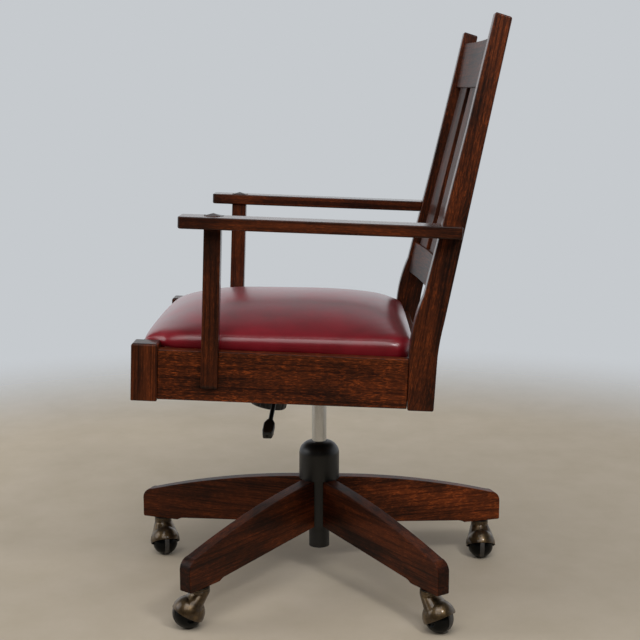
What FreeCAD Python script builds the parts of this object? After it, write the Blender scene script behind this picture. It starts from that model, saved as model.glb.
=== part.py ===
import FreeCAD, Part
import math
import os

V = FreeCAD.Vector
os.makedirs("parts", exist_ok=True)

# Swivel armchair in oak with a drop-in leather seat. Millimetres, +Z up, floor at z = 0.
# The origin is on the column axis at the floor, and the sitter faces -Y.
# The seat part is drawn upright and then leaned back by rest_lean about the tilt axle.

# Fits
cut_over = 5.0            # how far a cutter runs past what it cuts
run_fit = 0.05            # radial clearance of a running shaft
soft_gap = 0.3            # clearance of a soft piece and of faces that pass each other
rest_lean = 2.1           # degrees the seat part leans back when nobody sits in it

# Base star
leg_count = 5
leg_turn = -0.6           # degrees, the star's small turn from the chair's own axes
leg_thick = 25.0
leg_reach = 376.0         # column axis to the end of a leg
caster_set_in = 38.0      # a leg's end to its caster's stem
caster_r = leg_reach - caster_set_in
leg_top_r = 44.0
leg_top_z = 189.0
leg_mid_in = 169.0        # a leg's end to the middle of its arched top
leg_mid_r = leg_reach - leg_mid_in
leg_mid_z = 166.0
leg_corner_r = 20.0
leg_corner_z = 130.7
leg_pad_z = 72.0
leg_pad_half = 38.0       # the flat pad's inner end to the caster's stem
leg_pad_r = caster_r - leg_pad_half
leg_step_run = 15.0       # the round step from the pad to the slanting underside
leg_step_rise = 5.0
leg_step_mid_run = 5.5
leg_step_mid_rise = 3.0
leg_step_r = leg_pad_r - leg_step_run
leg_step_z = leg_pad_z + leg_step_rise
leg_step_mid_r = leg_pad_r - leg_step_mid_run
leg_step_mid_z = leg_pad_z + leg_step_mid_rise
leg_root_z = 99.0
leg_foot_ease = 2.0
leg_end_z = 110.6         # top of the end face, where the round corner starts

# Hub weldment and its cover
hub_r = 33.0
hub_wall = 5.0
hub_low_z = 97.0
hub_disc = 4.0
tube_r = 19.75
tube_bore_r = 17.6
tube_low_z = 52.0
tube_top_z = 250.0
tube_floor = 4.0
cover_r = 38.5
cover_wall = 2.5
cover_shoulder_z = 237.0
cover_hole_r = 14.5
bush_low_z = 192.0
bush_top_z = 248.0
bearing_r = 15.0
bearing_high = 6.0

# Leg bolts
bolt_r = 4.0
bolt_root_r = 21.0
bolt_reach = 92.0
bolt_hole_r = 4.3
bolt_low_z = 122.0
bolt_high_z = 164.0
nut_across = 13.0
nut_out_r = 26.9

# Gas lift
rod_r = 5.0
rod_low_z = 46.0
rod_top_z = 240.0
piston_r = 11.8
piston_long = 12.0
collar_r = 10.0
collar_high = 4.0
clip_r = 9.0
clip_high = 1.5
cylinder_r = 14.0
cylinder_bore_r = 12.0
cylinder_low_z = 118.0
cylinder_top_z = 390.0
cylinder_end = 12.0
taper_low_z = 343.0
taper_top_r = 13.2
pin_r = 3.0
pin_low_z = 384.0
pin_top_z = 397.5

# Tilt mechanism housing
wall_in = 47.0            # half the width between the housing's side walls
steel = 3.0               # sheet thickness of the housing and the seat plate
axle_y = -45.0
axle_z = 378.0
axle_r = 6.0
axle_head_r = 9.0
axle_head = 3.0
house_low_z = 347.0
house_rear_y = 50.0
house_rear_z = 366.0
house_top_z = 395.0
house_nose_y = -128.0
house_nose_z = 385.0
house_chin_y = -104.0
house_riser_y = -56.0
nose_top_deep = 20.0
socket_r = 19.0
socket_low_z = 346.0
socket_top_z = 388.0
pad_half = 30.0
pad_deep = 14.0

# Tension knob, its bolt and the spring: distances along an axis that leans forward going down
knob_lean = 12.0
knob_foot_y = -100.0
knob_foot_z = 326.5
knob_r = 36.0
knob_high = 26.0
knob_rim = 6.0
knob_dish = 4.0
knob_edge_shares = (0.5, 0.25, 0.125, 0.333)    # places on the foot's dome and its rounded rim
flute_count = 14
flute_r = 5.0
flute_deep = 1.8
spring_in_r = 14.0
spring_r = 21.0
spring_top = 55.0         # along the axis, where the spring meets the housing
tension_bolt_r = 5.0
tension_bolt_low = 8.0
tension_bolt_top = 92.0
bolt_head_r = 9.5
bolt_slot_half = 10.0

# Height lever
lever_r = 4.2
lever_drop = 13.3         # degrees below level, going outwards
lever_sweep = 2.5         # degrees towards the front, going outwards
lever_pivot_y = -81.5
lever_pivot_z = 356.2
lever_inner_x = 42.0
lever_over_y = -58.0
lever_over_z = 395.0
lever_tail_z = 402.0
lever_tail_past = 6.0
lever_play = 0.75
lever_swing = 6.0         # how far the bent rod swings across inside the housing
lever_length = 152.0      # pivot to the paddle's end
paddle_long = 54.0
paddle_wide = 20.0
paddle_neck = 11.0
paddle_tip = 16.0
paddle_thick = 13.0
paddle_round = 3.0
paddle_hole_r = 2.5
paddle_hole_deep = 3.0

# Casters
wheel_r = 25.0
wheel_in = 4.5            # half the gap between the twin wheels
wheel_tread = 6.0         # lateral place where a wheel's tread starts to round off
wheel_out = 23.2
wheel_face_r = 9.3
wheel_hub_r = 6.0
wheel_dish = 1.5
wheel_round_shares = (0.548, 0.673)    # the ball side's middle: shares from face to tread, and from tread to side
caster_axle_r = 3.5
trail = 22.0
hood_r = 29.3
hood_wall = 1.4
hood_rise = 3.0           # the shell's middle above the axle
hood_tip = 30.0           # degrees that the hood's rim rises towards the trailing tip
hood_rim_drop = 1.6       # the rim's middle below the axle
web_low_z = 4.0           # the foot of the web between the wheels
neck_r = 16.8
neck_low_z = 62.0
shoulder_low_z = 40.0     # the neck flares out to meet the shell here
shoulder_bite = 0.3       # how far the flare's foot is sunk in the shell
groove_z = 66.5           # a turned groove round the neck
groove_high = 1.6
groove_deep = 0.9
stem_r = 5.5
stem_low_z = 52.0
stem_top_z = 106.0
sleeve_r = 8.0
sleeve_top_z = 112.0
flange_r = 15.5
flange_high = 1.5
trail_turns = [140.0, 17.0, -70.0, 48.0, 2.0]    # degrees, the trailing direction of each caster

# Seat frame, drawn upright
frame_half = 277.0        # outer faces of the posts
front_post_wide = 44.5
front_post_y = -315.0
front_post_low_z = 393.5
front_post_top_z = 492.0
post_ease = 2.5
rail_set_in = 5.0         # the side rails' outer faces in from the posts'
rail_out = frame_half - rail_set_in
rail_thick = 24.0
rail_low_z = 396.5
rail_top_z = 482.0
rail_front_y = front_post_y + front_post_wide
tenon_thick = 10.0
tenon_long = 20.0
tenon_shoulder = 12.0
front_rail_set_in = 7.0   # the front rail's face behind the front posts'
front_rail_y = front_post_y + front_rail_set_in
cross_thick = 22.0

# Back posts: one sawn piece with a knee
post_thick = 31.0
post_low_z = 394.5
post_front_low_y = 153.2
post_knee_low_y = 152.7
post_knee_low_z = 484.0
post_knee_mid_y = 155.4
post_knee_mid_z = 530.0
post_knee_top_y = 172.0
post_knee_top_z = 592.0
post_bow_y = 205.0
post_bow_z = 752.0
post_top_front_y = 263.0
post_top_front_z = 1054.5
post_rear_low_y = 197.8
post_rear_knee_y = 199.9
post_rear_knee_z = 488.0
post_rear_mid_y = 202.7
post_rear_mid_z = 516.0
post_rear_top_y = 208.0
post_rear_top_z = 547.0
post_top_rear_y = 290.5
post_top_rear_z = 1047.0
rail_rear_gap = 0.4       # a side rail's shoulder to the post's knee
rail_back_y = post_knee_low_y - rail_rear_gap
rear_rail_set_back = 3.8
rear_rail_y = post_front_low_y + rear_rail_set_back

# Back rails and slats
crest_y = 251.7
crest_z = 944.5
crest_high = 88.3
crest_rake = 8.4
crest_bow = 19.0
low_rail_y = 173.6
low_rail_z = 565.6
low_rail_high = 62.4
low_rail_rake = 9.8
low_rail_bow = 25.0
back_rail_thick = 20.0
back_tenon_long = 14.0
back_tenon_thick = 8.0
back_tenon_in = 6.0
slat_count = 5
slat_wide = 60.0
slat_thick = 9.0
slat_set = 4.0            # how far a slat's face lies behind the rails' faces
slat_tenon = 8.0
slat_end_share = 2.0 / 3.0    # the gap beside a post, as a share of the gap between slats

# Arms and arm posts
arm_inside = 27.0         # the arms' inner edges in from the posts' outer faces
arm_in = frame_half - arm_inside
arm_wide = 58.0
arm_front_y = -237.0
arm_back_y = 227.5
arm_low_z = 690.5
arm_thick = 20.0
arm_corner_r = 7.0
arm_ease = 2.0
arm_post_proud = 5.0      # the arm posts' faces out from the back posts'
arm_post_out = frame_half + arm_post_proud
arm_post_thick = 27.5
arm_post_wide = 28.5
arm_post_y = -196.5
arm_post_low_z = 419.0
arm_post_bevel = 5.0
tenon_cap = 4.5           # height of the through tenon's pyramid above the arm

# Seat plate, battens, corner blocks and board
plate_half = 90.0
plate_front_y = -150.0
plate_rear_y = 95.0
plate_low_z = 412.0
window_half = 24.0
window_front_y = -26.0
window_rear_y = 34.0
ear_gap = 1.5
ear_half = 14.0
batten_wide = 50.0
batten_thick = 22.0
plate_bolt_r = 3.0
plate_bolt_x = 72.0
plate_bolt_head_r = 6.0
plate_bolt_head = 4.0
plate_bolt_in = 17.0
block_leg = 58.0
block_low_z = 439.0
board_low_z = 460.0
board_thick = 12.0
board_gap = 1.5

# Cushion, cut across by sections from front to rear. Each row holds shares: the place along the depth, how far the side
# stands in from the widest, the round of the top edge, and the crown's slope at that edge.
cushion_over = 4.8        # how far the cushion swells out over the side rails
cushion_side_gap = 1.0
cushion_rear_gap = 3.0
cushion_half = rail_out - rail_thick + cushion_over
cushion_base_half = rail_out - rail_thick - cushion_side_gap
cushion_front_y = front_rail_y
cushion_rear_y = rear_rail_y - cushion_rear_gap
cushion_bulge_z = 493.0   # height where the side bulges most
cushion_edge_r = 20.0     # round of the top edge
cushion_crown = 19.5      # degrees, the crown's slope at its edge
cushion_lip_shares = (0.7, 0.3)     # the lower edge's middle: shares of the way out and of the way up to the bulge
cushion_section_shares = [
    (0.000, 0.065, 0.28, 0.08),
    (0.024, 0.025, 0.70, 0.22),
    (0.082, 0.002, 1.00, 0.45),
    (0.171, 0.000, 1.00, 0.76),
    (0.268, 0.000, 1.00, 0.93),
    (0.480, 0.000, 1.00, 1.00),
    (0.700, 0.000, 1.00, 0.99),
    (0.860, 0.000, 1.00, 0.84),
    (0.950, 0.006, 0.95, 0.52),
    (0.985, 0.030, 0.70, 0.24),
    (1.000, 0.065, 0.35, 0.10),
]


def save(name, shape):
    """Writes one sub-part to its own file."""
    shape.exportStep("parts/" + name + ".step")
    print(name, len(shape.Solids), round(shape.Volume))


def group(shapes):
    """Keeps several separate solids in one sub-part."""
    return Part.makeCompound(shapes)


def box(x0, x1, y0, y1, z0, z1):
    """A box from its low and high corners, given in either order."""
    low = V(min(x0, x1), min(y0, y1), min(z0, z1))
    return Part.makeBox(abs(x1 - x0), abs(y1 - y0), abs(z1 - z0), low)


def cyl(r, low, high):
    """A cylinder between two points."""
    run = high - low
    return Part.makeCylinder(r, run.Length, low, run)


def upright(r, z0, z1, x=0, y=0):
    """A vertical cylinder."""
    return cyl(r, V(x, y, z0), V(x, y, z1))


def ring(r_out, r_in, z0, z1, x=0, y=0):
    """A vertical tube."""
    return upright(r_out, z0, z1, x, y).cut(upright(r_in, z0 - cut_over, z1 + cut_over, x, y))


def polygon(points):
    """A flat face inside straight edges."""
    return Part.Face(Part.makePolygon(points + [points[0]]))


def prism_x(outline, x0, x1):
    """Extrudes a (y, z) outline from x0 to x1."""
    face = polygon([V(x0, y, z) for y, z in outline])
    return face.extrude(V(x1 - x0, 0, 0))


def prism_z(outline, z0, z1):
    """Extrudes an (x, y) outline from z0 to z1."""
    face = polygon([V(x, y, z0) for x, y in outline])
    return face.extrude(V(0, 0, z1 - z0))


def spin(shape, degrees, centre=V(0, 0, 0), axis=V(0, 0, 1)):
    """A turned copy."""
    turned = shape.copy()
    turned.rotate(centre, axis, degrees)
    return turned


def mirror(shape):
    """The same piece on the other side of the chair."""
    return shape.mirror(V(0, 0, 0), V(1, 0, 0))


def lean(shape):
    """Leans a piece of the seat part back about the tilt axle."""
    return spin(shape, -rest_lean, V(0, axle_y, axle_z), V(1, 0, 0))


def edges_where(shape, test):
    """The straight edges whose two ends both satisfy a test."""
    found = []
    for edge in shape.Edges:
        if len(edge.Vertexes) == 2 and all(test(v.Point) for v in edge.Vertexes):
            found.append(edge)
    return found


def outline_face(edges):
    """A flat face inside lines and arcs given in order."""
    return Part.Face(Part.Wire([e.toShape() for e in edges]))


# Base star
def leg_angle(index):
    """Degrees from +X to one leg, with the first leg at the back of the picture's near side."""
    return 180.0 + leg_turn + index * 360.0 / leg_count


def leg_solid(index):
    """One oak leg: a sawn board on edge that butts against the hub ring."""
    half = leg_thick / 2

    def at(r, z):
        return V(r, -half, z)

    corner = at(leg_reach - leg_corner_r * (1 - math.sqrt(0.5)), leg_corner_z - leg_corner_r * (1 - math.sqrt(0.5)))
    edges = [
        Part.LineSegment(at(hub_r / 2, leg_root_z), at(leg_step_r, leg_step_z)),
        Part.Arc(at(leg_step_r, leg_step_z), at(leg_step_mid_r, leg_step_mid_z), at(leg_pad_r, leg_pad_z)),
        Part.LineSegment(at(leg_pad_r, leg_pad_z), at(leg_reach - leg_foot_ease, leg_pad_z)),
        Part.LineSegment(at(leg_reach - leg_foot_ease, leg_pad_z), at(leg_reach, leg_pad_z + leg_foot_ease)),
        Part.LineSegment(at(leg_reach, leg_pad_z + leg_foot_ease), at(leg_reach, leg_end_z)),
        Part.Arc(at(leg_reach, leg_end_z), corner, at(leg_reach - leg_corner_r, leg_corner_z)),
        Part.Arc(at(leg_reach - leg_corner_r, leg_corner_z), at(leg_mid_r, leg_mid_z), at(leg_top_r, leg_top_z)),
        Part.LineSegment(at(leg_top_r, leg_top_z), at(hub_r / 2, leg_top_z)),
        Part.LineSegment(at(hub_r / 2, leg_top_z), at(hub_r / 2, leg_root_z)),
    ]
    board = outline_face(edges).extrude(V(0, leg_thick, 0))
    board = board.cut(upright(hub_r, 0, leg_top_z + cut_over))
    board = board.cut(upright(sleeve_r, leg_pad_z - cut_over, sleeve_top_z, caster_r))
    for z in (bolt_low_z, bolt_high_z):
        board = board.cut(cyl(bolt_r, V(0, 0, z), V(bolt_reach, 0, z)))
    return spin(board, leg_angle(index))


def hub_weldment():
    """Centre tube, outer ring that the legs bolt to, and the discs that join them."""
    tube = ring(tube_r, tube_bore_r, tube_low_z, tube_top_z)
    floor = ring(tube_bore_r, rod_r + run_fit, tube_low_z, tube_low_z + tube_floor)
    shell = ring(hub_r, hub_r - hub_wall, hub_low_z, leg_top_z)
    hub = tube.fuse([floor, shell])
    for z in (hub_low_z, leg_top_z - hub_disc):
        hub = hub.fuse(ring(hub_r, tube_bore_r, z, z + hub_disc))
    hub = hub.cut(upright(tube_bore_r, tube_low_z + tube_floor, tube_top_z + cut_over))
    for index in range(leg_count):
        for z in (bolt_low_z, bolt_high_z):
            hole = cyl(bolt_hole_r, V(tube_r, 0, z), V(hub_r + cut_over, 0, z))
            hub = hub.cut(spin(hole, leg_angle(index)))
    return hub.removeSplitter()


def leg_bolts():
    """Two hanger bolts a leg, each with its nut inside the ring."""
    pieces = []
    for index in range(leg_count):
        for z in (bolt_low_z, bolt_high_z):
            bolt = cyl(bolt_r, V(bolt_root_r, 0, z), V(bolt_reach, 0, z))
            corner_r = nut_across / 2 / math.cos(math.radians(30))
            corners = []
            for side in range(6):
                a = math.radians(60 * side)
                corners.append(V(bolt_root_r, corner_r * math.cos(a), z + corner_r * math.sin(a)))
            nut = polygon(corners).extrude(V(nut_out_r - bolt_root_r, 0, 0)).cut(bolt)
            pieces.append(spin(bolt, leg_angle(index)))
            pieces.append(spin(nut, leg_angle(index)))
    return group(pieces)


def hub_cover():
    """Black dome that slides down over the tube and stands on the legs."""

    def shell(inset, low_z):
        r = cover_r - inset
        shoulder = cover_r - cover_hole_r - inset
        top_z = cover_shoulder_z + shoulder
        diagonal = shoulder * math.sqrt(0.5)
        edges = [
            Part.LineSegment(V(0, 0, low_z), V(r, 0, low_z)),
            Part.LineSegment(V(r, 0, low_z), V(r, 0, cover_shoulder_z)),
            Part.Arc(V(r, 0, cover_shoulder_z),
                     V(r - shoulder + diagonal, 0, cover_shoulder_z + diagonal),
                     V(r - shoulder, 0, top_z)),
            Part.LineSegment(V(r - shoulder, 0, top_z), V(0, 0, top_z)),
            Part.LineSegment(V(0, 0, top_z), V(0, 0, low_z)),
        ]
        return outline_face(edges).revolve(V(0, 0, 0), V(0, 0, 1), 360)

    dome = shell(0, leg_top_z).cut(shell(cover_wall, leg_top_z - cut_over))
    return dome.cut(upright(cover_hole_r, leg_top_z, cylinder_top_z))


def caster_sockets():
    """A pressed steel sleeve with a flange under each leg's end."""
    pieces = []
    for index in range(leg_count):
        sleeve = upright(sleeve_r, leg_pad_z, sleeve_top_z, caster_r)
        sleeve = sleeve.fuse(upright(flange_r, leg_pad_z - flange_high, leg_pad_z, caster_r))
        bore = upright(stem_r + run_fit, leg_pad_z - flange_high - cut_over, stem_top_z + soft_gap, caster_r)
        pieces.append(spin(sleeve.cut(bore).removeSplitter(), leg_angle(index)))
    return group(pieces)


# Casters
def stem_place(index):
    """Where a caster's stem stands."""
    a = math.radians(leg_angle(index))
    return V(caster_r * math.cos(a), caster_r * math.sin(a), 0)


def caster_hood():
    """Hood, neck, web and stem, with the stem at the origin and the wheels trailing along +X."""
    centre = V(trail, 0, wheel_r + hood_rise)
    big = 2 * hood_r
    ball = Part.makeSphere(hood_r, centre)
    hollow = Part.makeSphere(hood_r - hood_wall, centre)
    rim_z = wheel_r - hood_rim_drop
    rim = Part.makeBox(2 * big, 2 * big, big, V(trail - big, -big, rim_z - big))
    rim = spin(rim, -hood_tip, V(trail, 0, rim_z), V(0, 1, 0))
    section_r = math.sqrt(hood_r ** 2 - (shoulder_low_z - centre.z) ** 2) - shoulder_bite
    low = Part.Wire(Part.makeCircle(section_r, V(trail, 0, shoulder_low_z)))
    high = Part.Wire(Part.makeCircle(neck_r, V(0, 0, neck_low_z)))
    shoulder = Part.makeLoft([low, high], True, True)
    collar = upright(neck_r, neck_low_z, leg_pad_z - flange_high - soft_gap)
    collar = collar.cut(ring(neck_r + cut_over, neck_r - groove_deep, groove_z, groove_z + groove_high))
    body = ball.fuse([shoulder, collar]).cut(hollow).cut(rim)
    web = hollow.common(box(trail - big, trail + big, -wheel_in + soft_gap, wheel_in - soft_gap, web_low_z, big))
    web = web.cut(cyl(caster_axle_r + run_fit, V(trail, -wheel_in, wheel_r), V(trail, wheel_in, wheel_r)))
    body = body.fuse([web, upright(stem_r, stem_low_z, stem_top_z)])
    return body.removeSplitter()


def caster_wheels():
    """Two ball-sided wheels pressed on one axle."""
    pieces = []
    for side in (1, -1):
        def at(r, y):
            return V(0, side * y, r)

        mid_r = wheel_face_r + (wheel_r - wheel_face_r) * wheel_round_shares[0]
        mid_y = wheel_tread + (wheel_out - wheel_tread) * wheel_round_shares[1]
        edges = [
            Part.LineSegment(at(caster_axle_r, wheel_in), at(wheel_r, wheel_in)),
            Part.LineSegment(at(wheel_r, wheel_in), at(wheel_r, wheel_tread)),
            Part.Arc(at(wheel_r, wheel_tread), at(mid_r, mid_y), at(wheel_face_r, wheel_out)),
            Part.LineSegment(at(wheel_face_r, wheel_out), at(wheel_hub_r, wheel_out - wheel_dish)),
            Part.LineSegment(at(wheel_hub_r, wheel_out - wheel_dish), at(caster_axle_r, wheel_out - wheel_dish)),
            Part.LineSegment(at(caster_axle_r, wheel_out - wheel_dish), at(caster_axle_r, wheel_in)),
        ]
        wheel = outline_face(edges).revolve(V(0, 0, 0), V(0, 1, 0), 360)
        pieces.append(wheel)
    pieces.append(cyl(caster_axle_r, V(0, wheel_dish - wheel_out, 0), V(0, wheel_out - wheel_dish, 0)))
    wheels = group(pieces)
    wheels.translate(V(trail, 0, wheel_r))
    return wheels


def place_caster(shape, index):
    """Turns a caster piece to its trailing direction and moves it under its leg."""
    placed = spin(shape, trail_turns[index])
    placed.translate(stem_place(index))
    return placed


# Gas lift
def piston_rod():
    """Rod that stands in the tube's floor and turns on the thrust bearing."""
    floor_z = tube_low_z + tube_floor + bearing_high + soft_gap
    rod = upright(rod_r, rod_low_z, rod_top_z)
    collar = upright(collar_r, floor_z, floor_z + collar_high)
    piston = upright(piston_r, rod_top_z, rod_top_z + piston_long)
    return rod.fuse([collar, piston]).removeSplitter()


def gas_cylinder():
    """Bright tube with a taper at its head and a guide at its foot."""
    body = upright(cylinder_r, cylinder_low_z, taper_low_z)
    head = Part.makeCone(cylinder_r, taper_top_r, cylinder_top_z - taper_low_z, V(0, 0, taper_low_z), V(0, 0, 1))
    cavity = upright(cylinder_bore_r, cylinder_low_z + cylinder_end, cylinder_top_z - cylinder_end)
    tube = body.fuse(head).cut(cavity)
    tube = tube.cut(upright(rod_r + run_fit, cylinder_low_z - cut_over, cylinder_low_z + cylinder_end + cut_over))
    tube = tube.cut(upright(pin_r + run_fit, cylinder_top_z - cylinder_end - cut_over, cylinder_top_z + cut_over))
    return tube.removeSplitter()


def taper_socket():
    """Sleeve in the housing that the cylinder's taper wedges into."""
    socket = upright(socket_r, socket_low_z, socket_top_z)
    slope = (cylinder_r - taper_top_r) / (cylinder_top_z - taper_low_z)
    low_z = socket_low_z - cut_over / 2
    high_z = socket_top_z + cut_over / 2
    bore = Part.makeCone(cylinder_r - slope * (low_z - taper_low_z), cylinder_r - slope * (high_z - taper_low_z),
                         high_z - low_z, V(0, 0, low_z), V(0, 0, 1))
    return socket.cut(bore)


# Tension axis
knob_up = V(0, math.sin(math.radians(knob_lean)), math.cos(math.radians(knob_lean)))
knob_foot = V(0, knob_foot_y, knob_foot_z)


def on_axis(u):
    """A point on the tension bolt's axis, measured up from the knob's foot."""
    return knob_foot + knob_up * u


def along_axis(shape):
    """Moves a shape drawn upright at the origin onto the tension bolt's axis."""
    placed = spin(shape, -knob_lean, V(0, 0, 0), V(1, 0, 0))
    placed.translate(knob_foot)
    return placed


def tension_bolt():
    """Bolt that hangs in the seat plate by a round head."""
    shank = cyl(tension_bolt_r, on_axis(tension_bolt_low), on_axis(tension_bolt_top))
    seat_z = (plate_low_z + steel - knob_foot_z) / math.cos(math.radians(knob_lean))
    head = Part.makeSphere(bolt_head_r, on_axis(seat_z))
    below = lean(box(-plate_half, plate_half, plate_front_y, plate_rear_y, plate_low_z - knob_r, plate_low_z + steel))
    above = lean(box(-plate_half, plate_half, plate_front_y, plate_rear_y, plate_low_z + steel,
                     plate_low_z + steel + 2 * bolt_head_r))
    shank_low = shank.cut(above)
    return shank_low.fuse(head.cut(below)).removeSplitter()


def tension_knob():
    """Fluted hand knob with a slightly domed foot, threaded on the bolt."""

    half_share, dome_share, rim_in_share, rim_up_share = knob_edge_shares
    rim_r = knob_r - knob_rim * half_share

    def at(r, z):
        return V(r, 0, z)

    edges = [
        Part.Arc(at(0, 0), at(knob_r * half_share, knob_dish * dome_share), at(rim_r, knob_dish)),
        Part.Arc(at(rim_r, knob_dish), at(knob_r - knob_rim * rim_in_share, knob_dish + knob_rim * rim_up_share),
                 at(knob_r, knob_dish + knob_rim)),
        Part.LineSegment(at(knob_r, knob_dish + knob_rim), at(knob_r, knob_high - knob_rim)),
        Part.LineSegment(at(knob_r, knob_high - knob_rim), at(knob_r - knob_rim, knob_high)),
        Part.LineSegment(at(knob_r - knob_rim, knob_high), at(0, knob_high)),
        Part.LineSegment(at(0, knob_high), at(0, 0)),
    ]
    knob = outline_face(edges).revolve(V(0, 0, 0), V(0, 0, 1), 360)
    flute_at = knob_r + flute_r - flute_deep
    for index in range(flute_count):
        flute = upright(flute_r, -cut_over, knob_high + cut_over, flute_at)
        knob = knob.cut(spin(flute, index * 360.0 / flute_count))
    bore = upright(tension_bolt_r + run_fit, tension_bolt_low - soft_gap, knob_high + cut_over)
    return along_axis(knob.cut(bore))


def tilt_spring():
    """Outer shape of the coil spring between the knob and the housing."""
    return along_axis(ring(spring_r, spring_in_r, knob_high + soft_gap, spring_top))


# Mechanism
def lever_way(x):
    """The lever's centre line outside the housing, at one X."""
    out = x - wall_in
    return V(x, lever_pivot_y - out * math.tan(math.radians(lever_sweep)),
             lever_pivot_z - out * math.tan(math.radians(lever_drop)))


def lever_end(distance):
    """A point on the lever's straight run, measured out from the wall."""
    run = lever_way(wall_in + steel) - lever_way(wall_in)
    return lever_way(wall_in) + run.normalize() * distance


def lever_rod():
    """Bent rod: straight outside, then over the axle to the valve pin."""
    inner = lever_way(lever_inner_x)
    points = [
        lever_end(lever_length - paddle_long + paddle_hole_deep),
        inner,
        V(lever_inner_x, (lever_pivot_y + lever_over_y) / 2, (lever_pivot_z + 3 * lever_over_z) / 4),
        V(lever_inner_x - lever_r / 2, lever_over_y, lever_over_z),
        V(lever_inner_x / 2, lever_over_y / 3, (lever_over_z + lever_tail_z) / 2 + lever_r / 2),
        V(0, 0, lever_tail_z),
        V(-lever_tail_past, lever_tail_past, lever_tail_z),
    ]
    rod = cyl(lever_r, points[0], points[1])
    for low, high in zip(points[1:-1], points[2:]):
        rod = rod.fuse([Part.makeSphere(lever_r, low), cyl(lever_r, low, high)])
    return rod.removeSplitter()


def lever_paddle():
    """Moulded finger paddle pushed on the rod's end."""
    shoulder = paddle_long / 4
    outline = [
        (0, -paddle_neck / 2), (shoulder, -paddle_wide / 2), (paddle_long - shoulder, -paddle_wide / 2),
        (paddle_long, -paddle_tip / 2), (paddle_long, paddle_tip / 2), (paddle_long - shoulder, paddle_wide / 2),
        (shoulder, paddle_wide / 2), (0, paddle_neck / 2),
    ]
    paddle = prism_z(outline, -paddle_thick / 2, paddle_thick / 2)
    paddle = paddle.makeFillet(paddle_round, paddle.Edges)
    hole = cyl(paddle_hole_r, V(paddle_long - paddle_hole_deep, 0, 0), V(paddle_long + cut_over, 0, 0))
    paddle = paddle.cut(hole)
    paddle = spin(paddle, lever_drop, V(0, 0, 0), V(0, 1, 0))
    paddle = spin(paddle, -lever_sweep)
    paddle.translate(lever_end(lever_length - paddle_long))
    return paddle.cut(lever_rod())


def mech_housing():
    """Pressed steel housing: two side walls, a floor round the socket and a raised nose for the spring."""
    out = wall_in + steel
    wall = prism_x([
        (house_rear_y, house_low_z), (house_rear_y, house_rear_z), (axle_y, house_top_z),
        (house_nose_y, house_top_z), (house_nose_y, house_nose_z), (house_chin_y, house_low_z),
    ], wall_in, out)
    floor = box(-wall_in, wall_in, house_riser_y, house_rear_y, house_low_z, house_low_z + steel)
    back = box(-wall_in, wall_in, house_rear_y - steel, house_rear_y, house_low_z, house_rear_z)
    nose_v = (house_riser_y - on_axis(spring_top).y) / math.cos(math.radians(knob_lean))
    nose_front = (house_nose_y - on_axis(spring_top).y) / math.cos(math.radians(knob_lean))
    nose = box(-wall_in, wall_in, nose_front, nose_v, spring_top, spring_top + steel)
    nose = nose.cut(box(-tension_bolt_r - run_fit - soft_gap, tension_bolt_r + run_fit + soft_gap, -bolt_slot_half,
                        bolt_slot_half, spring_top - cut_over, spring_top + steel + cut_over))
    nose = along_axis(nose)
    nose = nose.cut(box(lever_inner_x - lever_r - lever_swing, wall_in, 2 * lever_pivot_y - lever_over_y,
                        house_riser_y + cut_over, lever_pivot_z, house_top_z))
    riser_top = on_axis(spring_top).z - nose_v * math.sin(math.radians(knob_lean)) + steel
    riser = box(-wall_in, wall_in, house_riser_y - steel, house_riser_y, house_low_z, riser_top)
    shelf = box(-wall_in, wall_in, house_nose_y, house_nose_y + nose_top_deep, house_top_z - steel, house_top_z)
    housing = wall.fuse([mirror(wall), floor, back, nose, riser, shelf])
    housing = housing.cut(upright(socket_r, socket_low_z - cut_over, socket_top_z))
    housing = housing.cut(cyl(axle_r, V(-out - cut_over, axle_y, axle_z), V(out + cut_over, axle_y, axle_z)))
    housing = housing.cut(cyl(lever_r + lever_play, lever_way(lever_inner_x), lever_way(out + cut_over)))
    return housing.removeSplitter()


def tilt_axle():
    """Axle across the housing, with a head at one end and a washer at the other."""
    reach = wall_in + 2 * steel + 2 * ear_gap
    axle = cyl(axle_r, V(-reach, axle_y, axle_z), V(reach, axle_y, axle_z))
    head = cyl(axle_head_r, V(reach, axle_y, axle_z), V(reach + axle_head, axle_y, axle_z))
    washer = cyl(axle_head_r, V(-reach - axle_head, axle_y, axle_z), V(-reach, axle_y, axle_z))
    return axle.fuse([head, washer]).removeSplitter()


def stop_pad():
    """Rubber pad on the nose that the seat plate rests on."""
    y0 = house_nose_y + steel
    top = plate_low_z + (axle_y - y0 - pad_deep) * math.sin(math.radians(rest_lean)) - soft_gap
    return box(-pad_half, pad_half, y0, y0 + pad_deep, house_top_z, top)


# Seat plate and what it carries
def seat_plate():
    """Steel plate with a window over the valve and two ears on the axle."""
    plate = box(-plate_half, plate_half, plate_front_y, plate_rear_y, plate_low_z, plate_low_z + steel)
    plate = plate.cut(box(-window_half, window_half, window_front_y, window_rear_y,
                          plate_low_z - cut_over, plate_low_z + steel + cut_over))
    ear_in = wall_in + steel + ear_gap
    ear = box(ear_in, ear_in + steel, axle_y - ear_half, axle_y + ear_half, axle_z, plate_low_z)
    ear = ear.fuse(cyl(ear_half, V(ear_in, axle_y, axle_z), V(ear_in + steel, axle_y, axle_z)))
    ear = ear.cut(cyl(axle_r + run_fit, V(ear_in - cut_over, axle_y, axle_z), V(plate_half, axle_y, axle_z)))
    plate = plate.fuse([ear, mirror(ear)])
    for x, y in plate_bolt_places():
        plate = plate.cut(upright(plate_bolt_r, plate_low_z - cut_over, plate_low_z + steel + cut_over, x, y))
    plate = lean(plate)
    hole = cyl(tension_bolt_r + soft_gap, on_axis(spring_top), on_axis(tension_bolt_top + cut_over))
    return plate.cut(hole).removeSplitter()


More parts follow.
